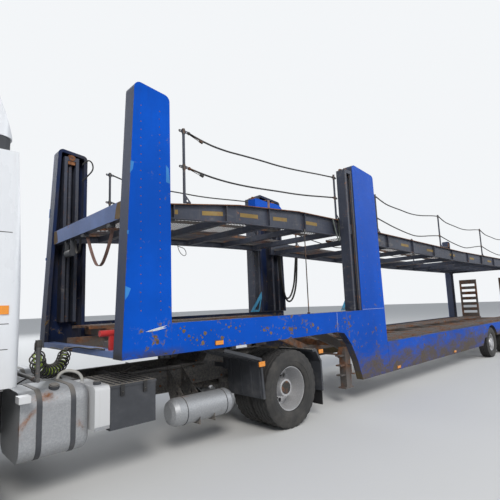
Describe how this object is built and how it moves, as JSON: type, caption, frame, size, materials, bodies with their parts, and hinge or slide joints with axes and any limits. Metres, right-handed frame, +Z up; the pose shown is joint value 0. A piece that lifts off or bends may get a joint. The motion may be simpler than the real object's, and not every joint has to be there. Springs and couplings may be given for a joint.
{
  "type": "car transporter truck",
  "caption": "Articulated car transporter: white high-roofed tractor unit hinged to a blue two-deck semi-trailer with sliding upper decks, hand ropes and folding rear ramps",
  "frame": {"origin": "On the ground under the middle of the whole vehicle's length and width", "axes": "+X forward towards the cab, +Y to the vehicle's left, +Z up"},
  "size_m": [18, 2.96, 4.0399],
  "materials": {
    "blue_paint": "semi-gloss blue paint, scratched, with rust spots",
    "navy_paint": "dark navy paint, weathered and rusty",
    "worn_steel": "worn brown-grey steel with surface rust",
    "black_rubber": "black rubber hose over wire rope",
    "chassis_paint": "dark grey chassis paint, dusty",
    "tank_metal": "dull aluminium, dusty",
    "dark_plastic": "dark grey plastic, faded",
    "white_paint": "gloss white cab paint",
    "clear_glass": "tinted clear glass",
    "interior_plastic": "grey plastic and cloth",
    "amber_lamp": "amber and red lamp plastic",
    "red_paint": "faded red plastic tube",
    "tyre_rubber": "dusty black tyre rubber",
    "wheel_metal": "silver-grey wheel paint, dusty"
  },
  "bodies": {
    "trailer": {"front_posts": "blue_paint", "middle_posts": "blue_paint", "rear_posts": "blue_paint", "neck_sides": "blue_paint", "low_beams": "blue_paint", "guides": "navy_paint", "crossmembers": "worn_steel", "frame_rails": "worn_steel", "kingpin_plate": "worn_steel", "lower_tracks": "worn_steel", "trailer_axles": "chassis_paint", "landing_legs": "worn_steel", "rear_bumper": "worn_steel", "trailer_lamps": "amber_lamp", "extinguisher": "red_paint"},
    "front_deck": {"front_deck_frame": "navy_paint", "front_deck_tracks": "worn_steel", "front_deck_rails": "navy_paint", "front_deck_ropes": "black_rubber", "wheel_chock": "blue_paint"},
    "rear_deck": {"rear_deck_frame": "navy_paint", "rear_deck_tracks": "worn_steel", "rear_deck_rails": "navy_paint", "rear_deck_ropes": "black_rubber"},
    "left_ramp": {"ramp_left": "worn_steel"},
    "right_ramp": {"ramp_right": "worn_steel"},
    "tractor": {"tractor_frame": "chassis_paint", "engine": "chassis_paint", "front_axle": "chassis_paint", "drive_axle": "chassis_paint", "fifth_wheel": "chassis_paint", "tanks": "tank_metal", "battery_box": "dark_plastic", "mudguards": "dark_plastic", "bumper": "dark_plastic", "headlamps": "clear_glass", "supply_coil": "black_rubber"},
    "cab": {"cab_shell": "white_paint", "cab_roof": "white_paint", "windscreen": "clear_glass", "grille": "dark_plastic", "cab_interior": "interior_plastic"},
    "left_door": {"door_left": "white_paint", "door_glass_left": "clear_glass"},
    "right_door": {"door_right": "white_paint", "door_glass_right": "clear_glass"},
    "left_knuckle": {"knuckle_left": "chassis_paint"},
    "left_steer_wheel": {"steer_tyre_left": "tyre_rubber", "steer_rim_left": "wheel_metal"},
    "left_drive_wheel": {"drive_tyres_left": "tyre_rubber", "drive_rims_left": "wheel_metal"},
    "left_trailer_wheel_1": {"trailer_wheel_1_left": "tyre_rubber"},
    "left_trailer_wheel_2": {"trailer_wheel_2_left": "tyre_rubber"},
    "right_knuckle": {"knuckle_right": "chassis_paint"},
    "right_steer_wheel": {"steer_tyre_right": "tyre_rubber", "steer_rim_right": "wheel_metal"},
    "right_drive_wheel": {"drive_tyres_right": "tyre_rubber", "drive_rims_right": "wheel_metal"},
    "right_trailer_wheel_1": {"trailer_wheel_1_right": "tyre_rubber"},
    "right_trailer_wheel_2": {"trailer_wheel_2_right": "tyre_rubber"}
  },
  "joints": [
    {"name": "articulation", "type": "hinge", "parent": "trailer", "child": "tractor", "pos_m": [4.2, 0, 1.15], "axis": [0, 0, 1], "range_deg": [-60, 60], "deforming": ["supply_coil"]},
    {"name": "cab_tilt", "type": "hinge", "parent": "tractor", "child": "cab", "pos_m": [8.87, 0, 0.7], "axis": [0, 1, 0], "range_deg": [0, 60]},
    {"name": "left_door_hinge", "type": "hinge", "parent": "cab", "child": "left_door", "pos_m": [8.612, 1.254, 1.9], "axis": [0, 0, -1], "range_deg": [0, 70]},
    {"name": "right_door_hinge", "type": "hinge", "parent": "cab", "child": "right_door", "pos_m": [8.612, -1.254, 1.9], "axis": [0, 0, 1], "range_deg": [0, 70]},
    {"name": "left_steer", "type": "hinge", "parent": "tractor", "child": "left_knuckle", "pos_m": [7.55, 0.9, 0.44], "axis": [0, 0, 1], "range_deg": [-35, 35]},
    {"name": "right_steer", "type": "hinge", "parent": "tractor", "child": "right_knuckle", "pos_m": [7.55, -0.9, 0.44], "axis": [0, 0, 1], "range_deg": [-35, 35]},
    {"name": "front_deck_lift", "type": "slide", "parent": "trailer", "child": "front_deck", "axis": [0, 0, 1], "range_m": [-0.9, 0.45]},
    {"name": "rear_deck_lift", "type": "slide", "parent": "trailer", "child": "rear_deck", "axis": [0, 0, 1], "range_m": [-1.2, 0.45]},
    {"name": "left_ramp_hinge", "type": "hinge", "parent": "trailer", "child": "left_ramp", "pos_m": [-8.973, 0.68, 0.885], "axis": [0, -1, 0], "range_deg": [0, 125]},
    {"name": "right_ramp_hinge", "type": "hinge", "parent": "trailer", "child": "right_ramp", "pos_m": [-8.973, -0.68, 0.885], "axis": [0, -1, 0], "range_deg": [0, 125]},
    {"name": "left_steer_wheel_spin", "type": "hinge", "parent": "left_knuckle", "child": "left_steer_wheel", "pos_m": [7.55, 1.08, 0.507], "axis": [0, 1, 0], "continuous": true},
    {"name": "left_drive_wheel_spin", "type": "hinge", "parent": "tractor", "child": "left_drive_wheel", "pos_m": [3.6, 0.91, 0.507], "axis": [0, 1, 0], "continuous": true},
    {"name": "left_trailer_wheel_1_spin", "type": "hinge", "parent": "trailer", "child": "left_trailer_wheel_1", "pos_m": [-4.6, 1.13, 0.394], "axis": [0, 1, 0], "continuous": true},
    {"name": "left_trailer_wheel_2_spin", "type": "hinge", "parent": "trailer", "child": "left_trailer_wheel_2", "pos_m": [-5.9, 1.13, 0.394], "axis": [0, 1, 0], "continuous": true},
    {"name": "right_steer_wheel_spin", "type": "hinge", "parent": "right_knuckle", "child": "right_steer_wheel", "pos_m": [7.55, -1.08, 0.507], "axis": [0, 1, 0], "continuous": true},
    {"name": "right_drive_wheel_spin", "type": "hinge", "parent": "tractor", "child": "right_drive_wheel", "pos_m": [3.6, -0.91, 0.507], "axis": [0, 1, 0], "continuous": true},
    {"name": "right_trailer_wheel_1_spin", "type": "hinge", "parent": "trailer", "child": "right_trailer_wheel_1", "pos_m": [-4.6, -1.13, 0.394], "axis": [0, 1, 0], "continuous": true},
    {"name": "right_trailer_wheel_2_spin", "type": "hinge", "parent": "trailer", "child": "right_trailer_wheel_2", "pos_m": [-5.9, -1.13, 0.394], "axis": [0, 1, 0], "continuous": true}
  ],
  "couplings": [
    {"joint": "right_steer", "follows": "left_steer", "ratio": 1}
  ]
}
